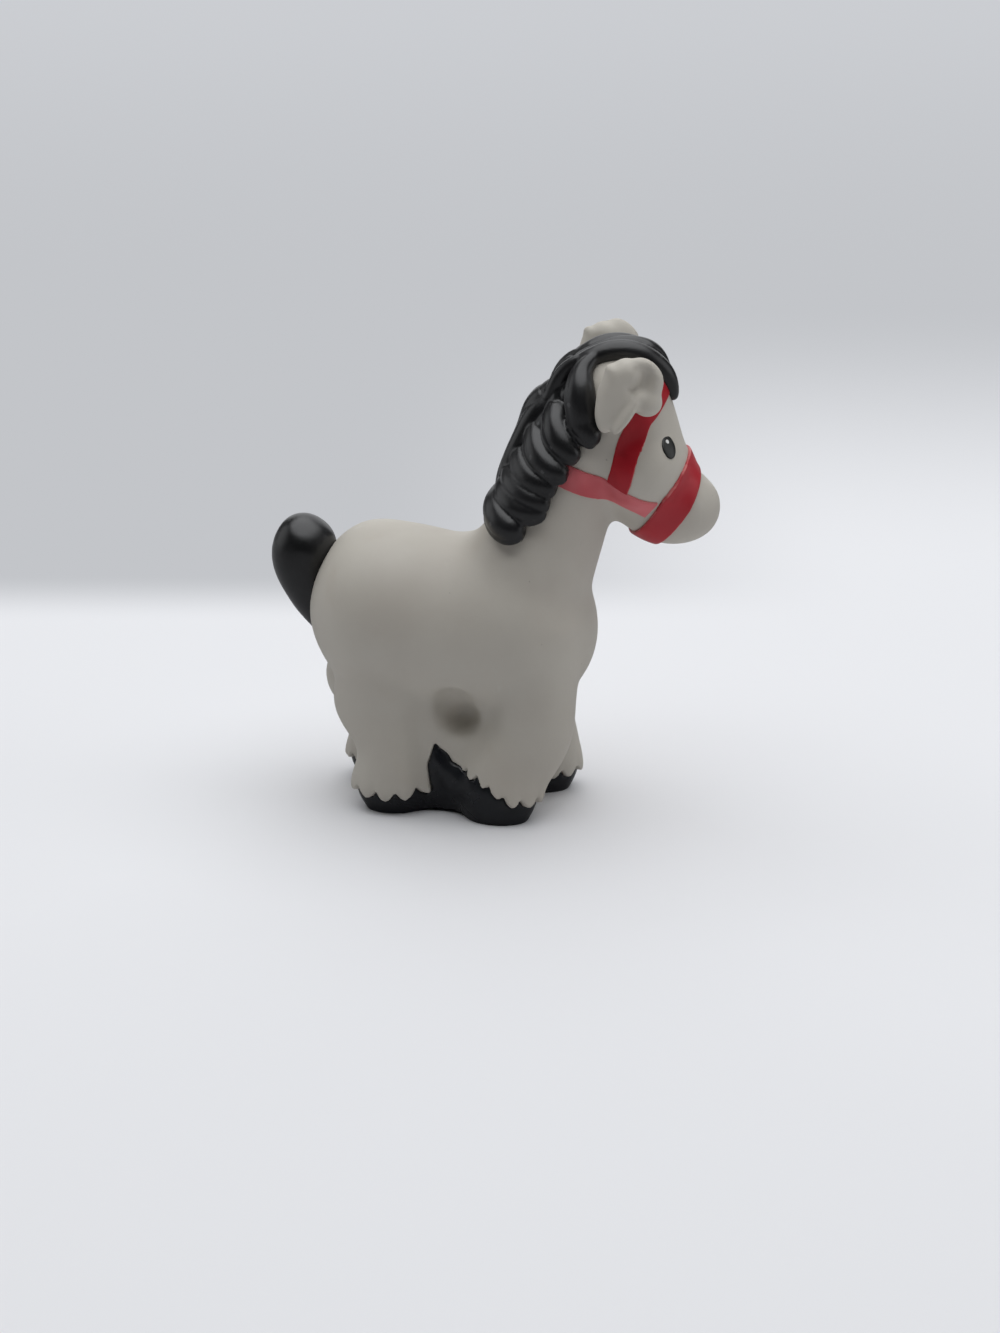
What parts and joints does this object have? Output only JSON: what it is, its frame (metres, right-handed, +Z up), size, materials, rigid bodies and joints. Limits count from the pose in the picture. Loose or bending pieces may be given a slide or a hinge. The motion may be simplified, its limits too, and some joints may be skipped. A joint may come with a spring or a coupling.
{
  "type": "toy farm animal figure",
  "caption": "Chunky toy horse in grey vinyl with a black mane, tail and hoofed base, feathered legs and a red halter.",
  "frame": {"origin": "on the flat sole of the hoofed base, under the web between the four legs", "axes": "+X towards the chest, +Y to the horse's left, +Z up"},
  "size_m": [0.0688, 0.0272, 0.075],
  "materials": {
    "vinyl_grey": "matte warm grey vinyl",
    "hair_black": "satin black",
    "hoof_black": "satin black with a blue cast",
    "halter_red": "satin deep red",
    "eye_black": "satin dark grey paint",
    "glint_white": "satin white paint"
  },
  "bodies": {
    "root": {"body": "vinyl_grey", "mane": "hair_black", "tail": "hair_black", "hoof_base": "hoof_black", "noseband": "halter_red", "crown_strap": "halter_red", "jaw_strap_left": "halter_red", "jaw_strap_right": "halter_red", "eye_left": "eye_black", "eye_right": "eye_black", "eye_glint_left": "glint_white", "eye_glint_right": "glint_white"}
  },
  "joints": []
}
